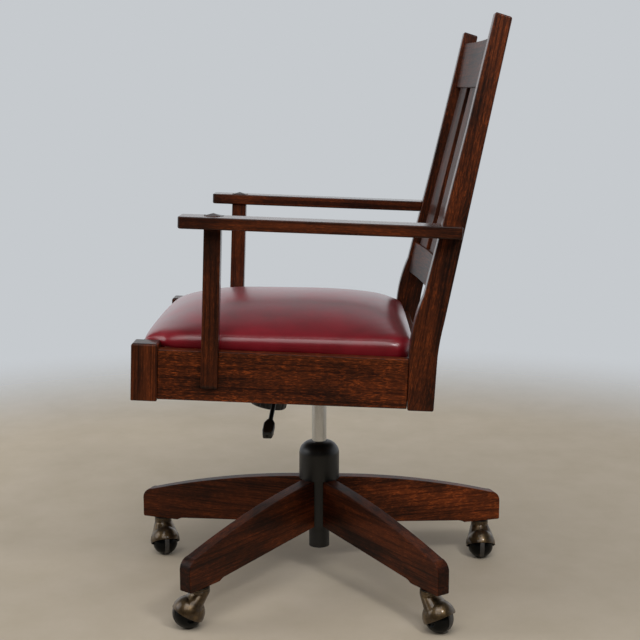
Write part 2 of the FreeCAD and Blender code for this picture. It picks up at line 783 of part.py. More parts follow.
def batten_fronts():
    """The front edges of the two battens, which end flush with the plate's ends."""
    return (plate_front_y, plate_rear_y - batten_wide)


def plate_bolt_places():
    """The four bolts through the plate into the battens."""
    places = []
    for y in batten_fronts():
        for side in (1, -1):
            places.append((side * plate_bolt_x, y + batten_wide / 2))
    return places


def plate_bolts():
    """Bolts with their heads under the plate."""
    pieces = []
    for x, y in plate_bolt_places():
        shank = upright(plate_bolt_r, plate_low_z, plate_low_z + steel + plate_bolt_in, x, y)
        head = upright(plate_bolt_head_r, plate_low_z - plate_bolt_head, plate_low_z, x, y)
        pieces.append(shank.fuse(head).removeSplitter())
    return group(pieces)


def batten(front_y):
    """Oak batten from side rail to side rail."""
    half = rail_out - rail_thick
    low = plate_low_z + steel
    piece = box(-half, half, front_y, front_y + batten_wide, low, low + batten_thick)
    return piece.cut(plate_bolts())


# Seat frame
def tenon(y0, y1, thick_at, z0, z1):
    """A side rail's tenon, centred on the rail's thickness."""
    return box(thick_at - tenon_thick / 2, thick_at + tenon_thick / 2, y0, y1, z0 + tenon_shoulder,
               z1 - tenon_shoulder)


def arm_post():
    """Square post lapped over the side rail, with its head through the arm as a pyramid."""
    x0 = arm_post_out - arm_post_thick
    x1 = arm_post_out
    y0 = arm_post_y
    y1 = arm_post_y + arm_post_wide
    arm_top = arm_low_z + arm_thick
    post = box(x0, x1, y0, y1, arm_post_low_z, arm_top)
    foot = edges_where(post, lambda p: p.z < arm_post_low_z + run_fit and p.x > x1 - run_fit)
    post = post.makeChamfer(arm_post_bevel, foot)
    mid_x = (x0 + x1) / 2
    mid_y = (y0 + y1) / 2
    corners = [V(x0, y0, arm_top), V(x1, y0, arm_top), V(x1, y1, arm_top), V(x0, y1, arm_top)]
    apex = V(mid_x, mid_y, arm_top + tenon_cap)
    sides = [polygon([corners[n], corners[(n + 1) % 4], apex]) for n in range(4)]
    cap = Part.Solid(Part.Shell([polygon(corners)] + sides))
    if cap.Volume < 0:
        cap.reverse()
    return post.fuse(cap).removeSplitter()


def side_rail():
    """Left side rail with a tenon at each end and the arm post's housing cut in it."""
    inner = rail_out - rail_thick
    rail = box(inner, rail_out, rail_front_y, rail_back_y, rail_low_z, rail_top_z)
    middle = rail_out - rail_thick / 2
    front = tenon(rail_front_y - tenon_long, rail_front_y, middle, rail_low_z, rail_top_z)
    back = tenon(rail_back_y, rail_back_y + tenon_long, middle, rail_low_z, rail_top_z)
    return rail.fuse([front, back]).cut(arm_post()).removeSplitter()


def cross_rail(y0, half):
    """A rail across the frame, with tenons into the posts at both sides."""
    rail = box(-half, half, y0, y0 + cross_thick, rail_low_z, rail_top_z)
    mid = y0 + cross_thick / 2
    pins = box(-half - tenon_long, half + tenon_long, mid - tenon_thick / 2, mid + tenon_thick / 2,
               rail_low_z + tenon_shoulder, rail_top_z - tenon_shoulder)
    return rail.fuse(pins).removeSplitter()


def front_rail():
    return cross_rail(front_rail_y, frame_half - front_post_wide).cut(group([side_rail(), mirror(side_rail())]))


def rear_rail():
    return cross_rail(rear_rail_y, frame_half - post_thick).cut(group([side_rail(), mirror(side_rail())]))


def front_post():
    """Left front post with an eased top."""
    post = box(frame_half - front_post_wide, frame_half, front_post_y, front_post_y + front_post_wide,
               front_post_low_z, front_post_top_z)
    top = edges_where(post, lambda p: p.z > front_post_top_z - run_fit)
    post = post.makeChamfer(post_ease, top)
    return post.cut(group([side_rail(), front_rail()]))


def back_post_blank():
    """The back post's sawn outline, before its mortises."""
    x = frame_half - post_thick

    def at(y, z):
        return V(x, y, z)

    edges = [
        Part.LineSegment(at(post_front_low_y, post_low_z), at(post_knee_low_y, post_knee_low_z)),
        Part.Arc(at(post_knee_low_y, post_knee_low_z), at(post_knee_mid_y, post_knee_mid_z),
                 at(post_knee_top_y, post_knee_top_z)),
        Part.Arc(at(post_knee_top_y, post_knee_top_z), at(post_bow_y, post_bow_z),
                 at(post_top_front_y, post_top_front_z)),
        Part.LineSegment(at(post_top_front_y, post_top_front_z), at(post_top_rear_y, post_top_rear_z)),
        Part.LineSegment(at(post_top_rear_y, post_top_rear_z), at(post_rear_top_y, post_rear_top_z)),
        Part.Arc(at(post_rear_top_y, post_rear_top_z), at(post_rear_mid_y, post_rear_mid_z),
                 at(post_rear_knee_y, post_rear_knee_z)),
        Part.LineSegment(at(post_rear_knee_y, post_rear_knee_z), at(post_rear_low_y, post_low_z)),
        Part.LineSegment(at(post_rear_low_y, post_low_z), at(post_front_low_y, post_low_z)),
    ]
    return outline_face(edges).extrude(V(post_thick, 0, 0))


def bowed_board(half, bow, thick, set_back, high):
    """A curved board standing on z = 0, whose hollow face is set back from y = 0 at its ends."""
    y0 = set_back
    y1 = set_back + thick
    edges = [
        Part.Arc(V(-half, y0, 0), V(0, y0 + bow, 0), V(half, y0, 0)),
        Part.LineSegment(V(half, y0, 0), V(half, y1, 0)),
        Part.Arc(V(half, y1, 0), V(0, y1 + bow, 0), V(-half, y1, 0)),
        Part.LineSegment(V(-half, y1, 0), V(-half, y0, 0)),
    ]
    return outline_face(edges).extrude(V(0, 0, high))


def raked(shape, rake, y, z):
    """Leans a board drawn at the origin back by its rake and moves it to its place in the back."""
    placed = spin(shape, -rake, V(0, 0, 0), V(1, 0, 0))
    placed.translate(V(0, y, z))
    return placed


def back_rail(y, z, high, rake, bow):
    """A bowed rail of the back with a straight tenon at each end."""
    half = frame_half - post_thick
    board = bowed_board(half, bow, back_rail_thick, 0, high)
    for side in (1, -1):
        pin = box(side * half, side * (half + back_tenon_long), back_tenon_in, back_tenon_in + back_tenon_thick,
                  tenon_shoulder, high - tenon_shoulder)
        board = board.fuse(pin)
    return raked(board.removeSplitter(), rake, y, z)


def slat(index):
    """One slat, straight from the lower rail's mortise to the crest rail's."""
    half = frame_half - post_thick
    spacing = (2 * half - slat_count * slat_wide)
    gap = spacing / (slat_count - 1 + 2 * slat_end_share)
    x = -half + gap * slat_end_share + index * (slat_wide + gap) + slat_wide / 2
    bow_share = 1 - (x / half) ** 2
    wires = []
    for y, z, rake, bow, up in (
        (low_rail_y, low_rail_z, low_rail_rake, low_rail_bow, low_rail_high - slat_tenon),
        (crest_y, crest_z, crest_rake, crest_bow, slat_tenon),
    ):
        a = math.radians(rake)
        turn = math.atan(-2 * bow * x / half ** 2)
        front = slat_set + bow * bow_share
        corners = []
        for across, depth in ((-1, 0), (1, 0), (1, 1), (-1, 1)):
            px = across * slat_wide / 2
            py = depth * slat_thick
            bx = x + px * math.cos(turn) - py * math.sin(turn)
            by = front + px * math.sin(turn) + py * math.cos(turn)
            corners.append(V(bx, y + by * math.cos(a) + up * math.sin(a), z + up * math.cos(a) - by * math.sin(a)))
        wires.append(Part.makePolygon(corners + [corners[0]]))
    return Part.makeLoft(wires, True, True)


def all_slats():
    return group([slat(index) for index in range(slat_count)])


def crest_rail():
    rail = back_rail(crest_y, crest_z, crest_high, crest_rake, crest_bow)
    return rail.cut(all_slats())


def lower_back_rail():
    rail = back_rail(low_rail_y, low_rail_z, low_rail_high, low_rail_rake, low_rail_bow)
    return rail.cut(all_slats())


def back_post():
    """Left back post with the mortises of every rail that enters it."""
    crest = back_rail(crest_y, crest_z, crest_high, crest_rake, crest_bow)
    low = back_rail(low_rail_y, low_rail_z, low_rail_high, low_rail_rake, low_rail_bow)
    return back_post_blank().cut(group([crest])).cut(group([low])).cut(side_rail()).cut(rear_rail())


def arm():
    """Left arm board, notched round the back post and mortised for the arm post."""
    board = box(arm_in, arm_in + arm_wide, arm_front_y, arm_back_y, arm_low_z, arm_low_z + arm_thick)
    front = edges_where(board, lambda p: p.y < arm_front_y + run_fit)
    corners = [e for e in front if abs(e.Vertexes[0].Point.z - e.Vertexes[1].Point.z) > arm_thick / 2]
    board = board.makeFillet(arm_corner_r, corners)
    top = [f for f in board.Faces if f.BoundBox.ZMin > arm_low_z + arm_thick - run_fit][0]
    board = board.makeFillet(arm_ease, top.Edges)
    return board.cut(back_post_blank()).cut(arm_post())


def corner_blocks():
    """Glue blocks in the frame's corners that carry the seat board."""
    side = rail_out - rail_thick
    post_x = frame_half - front_post_wide
    post_y = front_post_y + front_post_wide
    inner_y = front_rail_y + cross_thick
    rear_x = frame_half - post_thick
    front = prism_z([
        (side, post_y), (side, post_y + block_leg), (post_x - block_leg, inner_y), (post_x, inner_y),
        (post_x, post_y),
    ], block_low_z, board_low_z)
    rear = prism_z([
        (side, rail_back_y - block_leg), (side, rail_back_y), (rear_x, rail_back_y), (rear_x, rear_rail_y),
        (side - block_leg, rear_rail_y),
    ], block_low_z, board_low_z)
    return group([front, mirror(front), rear, mirror(rear)])


def seat_board():
    """Plywood board that drops between the rails on the corner blocks."""
    half = rail_out - rail_thick - board_gap
    front = front_rail_y + cross_thick + board_gap
    board = box(-half, half, front, rail_back_y - board_gap, board_low_z, board_low_z + board_thick)
    notch = box(frame_half - front_post_wide - board_gap, frame_half, front_post_y - cut_over,
                front_post_y + front_post_wide + board_gap, board_low_z - cut_over,
                board_low_z + board_thick + cut_over)
    return board.cut(notch).cut(mirror(notch))


def cushion_section(row):
    """One cross-section of the cushion: flat base, drawn-in sides, round edges and a crowned top."""
    place_share, side_share, round_share, slope_share = row
    y = cushion_front_y + place_share * (cushion_rear_y - cushion_front_y)
    half = cushion_half * (1 - side_share)
    base = cushion_base_half * (1 - side_share)
    edge_r = cushion_edge_r * round_share
    slope = math.radians(cushion_crown * slope_share)
    low = board_low_z + board_thick + soft_gap
    lip_z = rail_top_z
    mid_z = lip_z + (cushion_bulge_z - lip_z) * cushion_lip_shares[1]
    mid_x = base + (half - base) * cushion_lip_shares[0]

    def rounded(angle):
        return half - edge_r + edge_r * math.sin(angle), cushion_bulge_z + edge_r * math.cos(angle)

    edge_x, edge_z = rounded(slope)
    turn_x, turn_z = rounded((slope + math.pi / 2) / 2)
    top_z = edge_z + edge_x * math.tan(slope / 2)
    edges = [
        Part.LineSegment(V(-base, y, low), V(base, y, low)),
        Part.LineSegment(V(base, y, low), V(base, y, lip_z)),
        Part.Arc(V(base, y, lip_z), V(mid_x, y, mid_z), V(half, y, cushion_bulge_z)),
        Part.Arc(V(half, y, cushion_bulge_z), V(turn_x, y, turn_z), V(edge_x, y, edge_z)),
        Part.Arc(V(edge_x, y, edge_z), V(0, y, top_z), V(-edge_x, y, edge_z)),
        Part.Arc(V(-edge_x, y, edge_z), V(-turn_x, y, turn_z), V(-half, y, cushion_bulge_z)),
        Part.Arc(V(-half, y, cushion_bulge_z), V(-mid_x, y, mid_z), V(-base, y, lip_z)),
        Part.LineSegment(V(-base, y, lip_z), V(-base, y, low)),
    ]
    return Part.Wire([e.toShape() for e in edges])


def cushion():
    """Crowned leather seat whose sides draw in to the frame."""
    body = Part.makeLoft([cushion_section(row) for row in cushion_section_shares], True, False)
    rail = box(-frame_half, frame_half, front_post_y - cut_over, front_rail_y + cross_thick + soft_gap,
               rail_low_z, rail_top_z + soft_gap)
    notch = box(frame_half - front_post_wide - soft_gap, frame_half, front_post_y - cut_over,
                front_post_y + front_post_wide + soft_gap, rail_low_z, post_knee_mid_z)
    return body.cut(rail).cut(notch).cut(mirror(notch))


def build():
    """Makes every sub-part and writes it."""
    for index in range(leg_count):
        number = str(index + 1)
        save("leg_" + number, leg_solid(index))
        save("caster_hood_" + number, place_caster(caster_hood(), index))
        save("caster_wheels_" + number, place_caster(caster_wheels(), index))
    save("base_hub", hub_weldment())
    save("leg_bolts", leg_bolts())
    save("hub_cover", hub_cover())
    save("caster_sockets", caster_sockets())
    save("guide_bush", ring(tube_bore_r, cylinder_r + run_fit, bush_low_z, bush_top_z))
    bearing_z = tube_low_z + tube_floor
    save("thrust_bearing", ring(bearing_r, rod_r + run_fit, bearing_z, bearing_z + bearing_high))

    save("piston_rod", piston_rod())
    clip_top = tube_low_z - soft_gap
    save("rod_clip", ring(clip_r, rod_r, clip_top - clip_high, clip_top))

    save("gas_cylinder", gas_cylinder())
    save("valve_pin", upright(pin_r, pin_low_z, pin_top_z))
    save("taper_socket", taper_socket())
    save("mech_housing", mech_housing())
    save("tilt_axle", tilt_axle())
    save("tilt_spring", tilt_spring())
    save("stop_pad", stop_pad())
    save("lever_rod", lever_rod())
    save("lever_paddle", lever_paddle())
    save("tension_knob", tension_knob())
    save("tension_bolt", tension_bolt())

    save("seat_plate", seat_plate())
    save("plate_bolts", lean(plate_bolts()))
    fronts = batten_fronts()
    save("front_batten", lean(batten(fronts[0])))
    save("rear_batten", lean(batten(fronts[1])))
    for name, shape in (("side_rail", side_rail()), ("front_post", front_post()), ("back_post", back_post()),
                        ("arm_post", arm_post()), ("arm", arm())):
        save(name + "_left", lean(shape))
        save(name + "_right", lean(mirror(shape)))
    save("front_rail", lean(front_rail()))
    save("rear_rail", lean(rear_rail()))
    save("crest_rail", lean(crest_rail()))
    save("lower_back_rail", lean(lower_back_rail()))
    for index in range(slat_count):
        save("slat_" + str(index + 1), lean(slat(index)))
    save("corner_blocks", lean(corner_blocks()))
    save("seat_board", lean(seat_board()))
    save("cushion", lean(cushion()))


build()
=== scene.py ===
# %% [markdown]
# # A swivel armchair in dark oak
# The real chair is a joiner's piece on an office chair's works: fumed oak boards with eased edges, a
# leather drop-in seat, a satin chrome gas lift, moulded black plastic and bronzed casters. The packed
# model is the frame. It holds every size and joint, so this lesson only adds what the eye needs: edges
# that catch light, grain that follows each board, leather that swells, and metal that reflects.

# %% Load the frame
import math
import random

import bmesh
import bpy
from mathutils import Matrix, Vector


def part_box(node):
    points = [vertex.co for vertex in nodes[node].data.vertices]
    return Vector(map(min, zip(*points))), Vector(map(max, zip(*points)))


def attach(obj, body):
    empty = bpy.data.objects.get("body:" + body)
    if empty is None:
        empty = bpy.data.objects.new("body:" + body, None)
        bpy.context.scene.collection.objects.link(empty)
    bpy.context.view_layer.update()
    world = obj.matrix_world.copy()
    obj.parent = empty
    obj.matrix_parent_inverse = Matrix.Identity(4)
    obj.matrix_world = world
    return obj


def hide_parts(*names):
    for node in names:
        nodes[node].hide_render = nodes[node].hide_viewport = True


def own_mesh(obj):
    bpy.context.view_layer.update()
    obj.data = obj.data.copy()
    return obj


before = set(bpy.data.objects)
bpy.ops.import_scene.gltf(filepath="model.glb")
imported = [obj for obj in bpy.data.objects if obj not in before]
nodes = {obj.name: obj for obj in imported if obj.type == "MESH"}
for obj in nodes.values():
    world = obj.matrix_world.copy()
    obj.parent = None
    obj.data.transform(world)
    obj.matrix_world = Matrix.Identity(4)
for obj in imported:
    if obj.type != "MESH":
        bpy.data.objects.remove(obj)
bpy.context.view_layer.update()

# %% [markdown]
# ## Camera
# The photograph was taken from the sitter's left, a little above the arms, with a long lens. A pinhole
# fitted to the chair's own corners gives a focal length in pixels, and a sensor of 36 mm turns that into
# millimetres. Nothing is shifted, so other views can use the same camera.

# %% Place the camera
PHOTO_SIDE_PX = 640.0
FOCAL_PX = 1246.0
SENSOR_MM = 36.0
camera_place = Vector((2.325, 0.0446, 0.8875))
camera_yaw = math.radians(1.06)
camera_pitch = math.radians(9.56)

camera_data = bpy.data.cameras.new("camera")
camera_data.sensor_width = SENSOR_MM
camera_data.lens = FOCAL_PX / PHOTO_SIDE_PX * SENSOR_MM
camera = bpy.data.objects.new("camera", camera_data)
bpy.context.scene.collection.objects.link(camera)
forward = Vector((-math.cos(camera_yaw) * math.cos(camera_pitch),
                  -math.sin(camera_yaw) * math.cos(camera_pitch), -math.sin(camera_pitch)))
camera.location = camera_place
camera.rotation_euler = forward.to_track_quat("-Z", "Y").to_euler()
bpy.context.scene.camera = camera
print("lens", round(camera_data.lens, 2), "mm")

# %% [markdown]
# ## Node helpers
# Colours are written as the sRGB hex values that a paint card or a screen gives. Blender's sockets want
# linear light, so one function converts them. One more function adds a node, sets its properties and
# joins its inputs. The same few lines would otherwise stand in every material, and a slip in one of them
# is hard to find.

# %% Colour and node helpers
def linear(hex_colour):
    """An sRGB hex colour as linear RGBA."""
    channels = [int(hex_colour[n:n + 2], 16) / 255 for n in (0, 2, 4)]
    return tuple([c / 12.92 if c <= 0.04045 else ((c + 0.055) / 1.055) ** 2.4 for c in channels] + [1.0])


def add(tree, kind, inputs=None, out=0, stops=(), **settings):
    """Adds a node with its settings and links, and gives one of its outputs.

    Inputs are by name or number: a value is set, and another node's output is linked.
    Stops fill a colour ramp.
    """
    node = tree.nodes.new(kind)
    for name, value in settings.items():
        setattr(node, name, value)
    for name, value in (inputs or {}).items():
        if isinstance(value, bpy.types.NodeSocket):
            tree.links.new(value, node.inputs[name])
        else:
            node.inputs[name].default_value = value
    for number, (place, colour) in enumerate(stops):
        elements = node.color_ramp.elements
        element = elements[number] if number < len(elements) else elements.new(place)
        element.position = place
        element.color = linear(colour)
    return node.outputs[out] if node.outputs else None


def new_material(name, **constants):
    """A material with a Principled shader, its node tree and the shader's sockets.

    The plain numbers are set on the shader's own sockets.
    """
    material = bpy.data.materials.new(name)
    material.use_nodes = True
    tree = material.node_tree
    tree.nodes.clear()
    surface = add(tree, "ShaderNodeBsdfPrincipled")
    add(tree, "ShaderNodeOutputMaterial", {"Surface": surface})
    shader = surface.node
    for socket, value in constants.items():
        shader.inputs[socket.replace("_", " ")].default_value = value
    return material, tree, shader.inputs


def finish(piece, *materials):
    """Gives a piece these materials and no others."""
    piece.data.materials.clear()
    for material in materials:
        piece.data.materials.append(material)


MM = 0.001
print("helpers ready, 1 mm is", MM, "m")

# %% [markdown]
# ## Room light
# A plain studio: a pale floor, an even grey surround and a few large soft lamps. Satin lacquer and
# leather show mostly what they reflect, so the surround is as pale as a wall in front of the camera and
# dark behind it. An image of a real room would do too, but then its windows would show in the leather.
# The camera itself sees one flat grey.

# %% Surround
WALL_GREY = "C6CACE"
WALL_TONES = [(0.4, "DDE1E5"), (0.72, "3A3633")]
HEIGHT_TONES = [(0.48, "FFFFFF"), (0.6, "565656")]
scene = bpy.context.scene
scene.view_settings.view_transform = "Standard"
world = bpy.data.worlds.new("pale_surround")
scene.world = world
world.use_nodes = True
world.node_tree.nodes.clear()
tree = world.node_tree
heading = add(tree, "ShaderNodeTexCoord", out="Generated")
across = add(tree, "ShaderNodeSeparateXYZ", {0: heading}, out="X")
upward = add(tree, "ShaderNodeSeparateXYZ", {0: heading}, out="Z")
sideways = add(tree, "ShaderNodeMapRange", {0: across, 1: -1.0, 2: 1.0})
side_tone = add(tree, "ShaderNodeValToRGB", {0: sideways}, stops=WALL_TONES)
height_tone = add(tree, "ShaderNodeValToRGB", {0: upward}, stops=HEIGHT_TONES)
lit = add(tree, "ShaderNodeMix", {0: 1.0, 6: side_tone, 7: height_tone}, out=2, data_type="RGBA",
          blend_type="MULTIPLY")
seen = add(tree, "ShaderNodeLightPath", out="Is Camera Ray")
shown = add(tree, "ShaderNodeMix", {0: seen, 6: lit, 7: linear(WALL_GREY)}, out=2, data_type="RGBA")
surround = add(tree, "ShaderNodeBackground", {"Color": shown, "Strength": 1.0})
add(tree, "ShaderNodeOutputWorld", {"Surface": surround})
print("surround:", world.name)

# %% [markdown]
# ### Lamps
# A lamp overhead and one high on the camera's side give the broad gloss on the seat and the thin light
# along the arms. One in front of the sitter stands for a window. A small one, high up by the chair's
# back, puts the bright point on each caster. Spot lamps would do for that too, but their edge would show
# on the floor.

# %% Lamps
def soft_lamp(name, place, aim, size, watts):
    """A square area lamp that faces a point. Its size is in metres."""
    data = bpy.data.lights.new(name, "AREA")
    data.shape = "SQUARE"
    data.size = size
    data.energy = watts
    lamp = bpy.data.objects.new(name, data)
    scene.collection.objects.link(lamp)
    lamp.location = place
    lamp.rotation_euler = (Vector(aim) - Vector(place)).to_track_quat("-Z", "Y").to_euler()


seat_centre = (0.0, 0.0, 0.5)
soft_lamp("window_lamp", (0.3, -2.8, 1.8), seat_centre, 1.8, 22.0)
soft_lamp("overhead_lamp", (0.9, 0.1, 3.1), seat_centre, 2.0, 20.0)
soft_lamp("camera_side_lamp", (1.9, -0.3, 2.5), seat_centre, 2.0, 28.0)
soft_lamp("key_lamp", (1.6, 0.97, 1.95), (0.0, 0.0, 0.3), 0.4, 14.0)

# %% [markdown]
# ## Floor
# The floor is a round sheet of pale screed that fades into the surround, so no view shows a hard horizon.
# It is clear from below, so the underside of the chair can be looked at. A curved backdrop would hide the
# horizon as well, but only from one side.
# Far from the camera the real floor is lit by the wall, so painted light makes the sheet lighter that way.

# %% Floor
FLOOR_RADIUS = 2.4
FADE_START = 1.2
PAINTED_LIGHT_FROM, PAINTED_LIGHT_TO, PAINTED_LIGHT_GAIN = 0.1, -1.2, 1.6
CLOUDS_PER_METRE = 9.0
floor_mesh = bpy.data.meshes.new("floor")
rim = bmesh.new()
bmesh.ops.create_circle(rim, cap_ends=True, segments=128, radius=FLOOR_RADIUS)
rim.to_mesh(floor_mesh)
rim.free()
floor = bpy.data.objects.new("floor", floor_mesh)
scene.collection.objects.link(floor)

screed, tree, sockets = new_material("trowelled_screed", Roughness=0.75)
place = add(tree, "ShaderNodeTexCoord", out="Object")
cloud = add(tree, "ShaderNodeTexNoise", {"Vector": place, "Scale": CLOUDS_PER_METRE, "Detail": 6.0,
                                         "Roughness": 0.62})
tone = add(tree, "ShaderNodeValToRGB", {0: cloud}, stops=[(0.3, "BBAE99"), (0.7, "C3B6A3")])
depth = add(tree, "ShaderNodeSeparateXYZ", {0: place}, out="X")
# painted light: away from the camera the sheet's colour is made lighter, for the wall's light on the far
# floor
painted_wall_light = add(tree, "ShaderNodeMapRange", {0: depth, 1: PAINTED_LIGHT_TO, 2: PAINTED_LIGHT_FROM, 3: PAINTED_LIGHT_GAIN, 4: 1.0})
tree.links.new(add(tree, "ShaderNodeVectorMath", {0: tone, "Scale": painted_wall_light}, operation="SCALE"),
               sockets["Base Color"])
radius = add(tree, "ShaderNodeVectorMath", {0: place}, out="Value", operation="LENGTH")
fade = add(tree, "ShaderNodeMapRange", {0: radius, 1: FADE_START, 2: FLOOR_RADIUS},
           interpolation_type="SMOOTHSTEP")
from_below = add(tree, "ShaderNodeNewGeometry", out="Backfacing")
fade = add(tree, "ShaderNodeMath", {0: fade, 1: from_below}, operation="MAXIMUM")
clear = add(tree, "ShaderNodeBsdfTransparent")
surface = tree.get_output_node("ALL").inputs["Surface"]
opaque = surface.links[0].from_socket
tree.links.new(add(tree, "ShaderNodeMixShader", {0: fade, 1: opaque, 2: clear}), surface)
finish(floor, screed)
print("floor radius", FLOOR_RADIUS, "m")

# %% [markdown]
# ## Oak
# The boards are white oak, fumed and stained dark, then rubbed out to a satin lacquer. Four things make
# it read: growth lines that run the length of the board, medullary rays that lie as short bright dashes
# on a quarter-sawn face, broad bands across the grain where the rays swell and fade, and slow changes of
# tone where the stain took differently. Each board carries its own coordinates, in metres: along the
# grain, across the face, and through the thickness. The pattern then runs with the board, not with the
# room. Each board also carries two numbers: how light it is drawn, which is its stain and on the far
# back post painted shade as well, and how much of the ray figure shows, since a rail shows more of it
# than a post. The lacquer comes in three polishes: dull on the base and the back's rails, satin on the
# seat frame, and shiny on the arms, where hands rub it. Real pores are about 0.3 mm wide, too fine to
# show, so they are drawn 0.8 mm wide. End grain drinks more stain, so a face that looks along the grain
# is darker. A photograph of veneer would give the figure at once, but it would repeat, and it would not
# turn with each board as stretched noise does.

# %% Oak figure
# the cells' size in mm along the grain, across the face and through the board, then detail and distortion
OAK_FIGURE = {
    "tone": (170, 42, 42, 3.0, 0.5),
    "growth": (240, 4.2, 7, 2.0, 0.35),
    "rays": (10, 1.9, 1.6, 2.0, 0.7),
    "bands": (13, 60, 24, 2.0, 0.5),
    "pores": (13, 0.8, 0.8, 1.0, 0.0),
}
# which noise each level reads, the part of its range that counts, and the levels at its two ends
OAK_LEVELS = {
    "dashes": ("rays", 0.47, 0.63, 0.0, 1.0),
    "swell": ("bands", 0.35, 0.65, 0.35, 1.0),
    "patchy": ("tone", 0.4, 0.58, 0.35, 1.0),
    "lines": ("growth", 0.36, 0.56, 0.42, 1.12),
    "pits": ("pores", 0.33, 0.47, 0.62, 1.0),
}
END_GRAIN_FROM, END_GRAIN_TO, END_GRAIN_TONE = 0.6, 0.9, 0.42
PORE_DEPTH = 0.06 * MM
print("noise cells along the grain in mm:", {part: sizes[0] for part, sizes in OAK_FIGURE.items()})

# %% Oak material
def oak(name, lacquer, dark, middle, fleck):
    """Fumed and stained white oak under a lacquer, whose weight says how polished it is."""
    material, tree, sockets = new_material(name, Roughness=0.5, IOR=1.5, Specular_IOR_Level=0.14,
                                           Coat_Weight=lacquer, Coat_Roughness=0.15, Coat_IOR=1.2)
    board = add(tree, "ShaderNodeAttribute", out="Vector", attribute_name="board")
    look = add(tree, "ShaderNodeAttribute", out="Vector", attribute_name="look")
    # the look's first number: how light the board is drawn, with painted shade on the far back post
    stain_and_shade = add(tree, "ShaderNodeSeparateXYZ", {0: look}, out="X")
    figured = add(tree, "ShaderNodeSeparateXYZ", {0: look}, out="Y")
    noise = {}
    for part, (along, across, deep, detail, distortion) in OAK_FIGURE.items():
        per_metre = (1 / (along * MM), 1 / (across * MM), 1 / (deep * MM))
        cells = add(tree, "ShaderNodeVectorMath", {0: board, 1: per_metre}, operation="MULTIPLY")
        noise[part] = add(tree, "ShaderNodeTexNoise", {"Vector": cells, "Scale": 1.0, "Detail": detail,
                                                       "Roughness": 0.55, "Distortion": distortion})
    levels = {}
    for level, (part, low, high, at_low, at_high) in OAK_LEVELS.items():
        levels[level] = add(tree, "ShaderNodeMapRange", {0: noise[part], 1: low, 2: high,
                                                         3: at_low, 4: at_high})
    base = add(tree, "ShaderNodeValToRGB", {0: noise["tone"]}, stops=[(0.34, dark), (0.66, middle)])
    share = levels["dashes"]
    for level in (levels["swell"], levels["patchy"], figured):
        share = add(tree, "ShaderNodeMath", {0: share, 1: level}, operation="MULTIPLY")
    base = add(tree, "ShaderNodeMix", {0: share, 6: base, 7: linear(fleck)}, out=2, data_type="RGBA")
    grain = add(tree, "ShaderNodeAttribute", out="Vector", attribute_name="grain")
    facing = add(tree, "ShaderNodeTexCoord", out="Normal")
    along = add(tree, "ShaderNodeVectorMath", {0: facing, 1: grain}, out="Value", operation="DOT_PRODUCT")
    along = add(tree, "ShaderNodeMath", {0: along}, operation="ABSOLUTE")
    end_grain = add(tree, "ShaderNodeMapRange", {0: along, 1: END_GRAIN_FROM, 2: END_GRAIN_TO, 3: 1.0,
                                                 4: END_GRAIN_TONE})
    for level in (levels["lines"], levels["pits"], stain_and_shade, end_grain):
        base = add(tree, "ShaderNodeVectorMath", {0: base, "Scale": level}, operation="SCALE")
    tree.links.new(base, sockets["Base Color"])
    relief = add(tree, "ShaderNodeBump", {"Height": levels["pits"], "Distance": PORE_DEPTH, "Strength": 0.5})
    tree.links.new(relief, sockets["Normal"])
    return material


LACQUER_WEIGHTS = {"dull": 0.18, "satin": 0.6, "handled": 0.9}
STAINED_TONES = ("291207", "55260E", "A04B1E")
lacquered_oak = {polish: oak("white_oak_fumed_stained_lacquer_" + polish, weight, *STAINED_TONES)
                 for polish, weight in LACQUER_WEIGHTS.items()}
print("oak ready:", ", ".join(lacquered_oak))

# %% [markdown]
# ## Boards with eased edges
# A joiner takes every sharp arris off with a few strokes of a plane. That narrow round is what shows as a
# thin pale line along a rail. The imported solids have sharp arrises, so each board is a copy of its node's
# mesh with the flat faces made whole again and the outside edges rounded. Weighted normals then keep each
# wide face flat to the light, so only the narrow round shades off. A bevel in the shader would be
# quicker, but the mesh itself would keep its sharp arrises.

# %% Board maker
MERGE_WITHIN = 0.01 * MM
FLAT_WITHIN = math.radians(0.6)
SHARP_BEYOND = math.radians(35.0)
SMOOTH_WITHIN = math.radians(50)
EDGE_SEGMENTS = 3


def clean_copy(node, name):
    """A copy of a node's mesh with shared corners merged and flat faces made whole."""
    mesh = nodes[node].data.copy()
    mesh.name = name
    work = bmesh.new()
    work.from_mesh(mesh)
    bmesh.ops.remove_doubles(work, verts=work.verts, dist=MERGE_WITHIN)
    bmesh.ops.dissolve_limit(work, angle_limit=FLAT_WITHIN, verts=work.verts, edges=work.edges)
    return mesh, work


def bake_modifiers(piece):
    """Replaces a piece's mesh by its evaluated one and drops its modifiers."""
    graph = bpy.context.evaluated_depsgraph_get()
    mesh = bpy.data.meshes.new_from_object(piece.evaluated_get(graph), preserve_all_data_layers=True,
                                           depsgraph=graph)
    piece.modifiers.clear()
    piece.data = mesh


def ease_edges(work, width):
    """Rounds the sharp outside edges.

    The width isn't clamped, or the short edges of an arc would narrow it.
    """
    sharp = [e for e in work.edges if e.is_manifold and e.is_convex and e.calc_face_angle(0.0) > SHARP_BEYOND]
    bmesh.ops.bevel(work, geom=sharp, offset=width, offset_type="OFFSET", segments=EDGE_SEGMENTS, profile=0.5,
                    affect="EDGES", clamp_overlap=False)


def eased_piece(node, body, width):
    """A piece that stands for a node, with its outside edges rounded."""
    name = node + "_eased"
    mesh, work = clean_copy(node, name)
    ease_edges(work, width)
    work.to_mesh(mesh)
    work.free()
    mesh.shade_smooth()
    mesh.set_sharp_from_angle(angle=SMOOTH_WITHIN)
    piece = bpy.data.objects.new(name, mesh)
    scene.collection.objects.link(piece)
    weighted = piece.modifiers.new("weighted", "WEIGHTED_NORMAL")
    weighted.keep_sharp = True
    bake_modifiers(piece)
    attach(piece, body)
    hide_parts(node)
    return piece


print("eased edges have", EDGE_SEGMENTS, "facets")

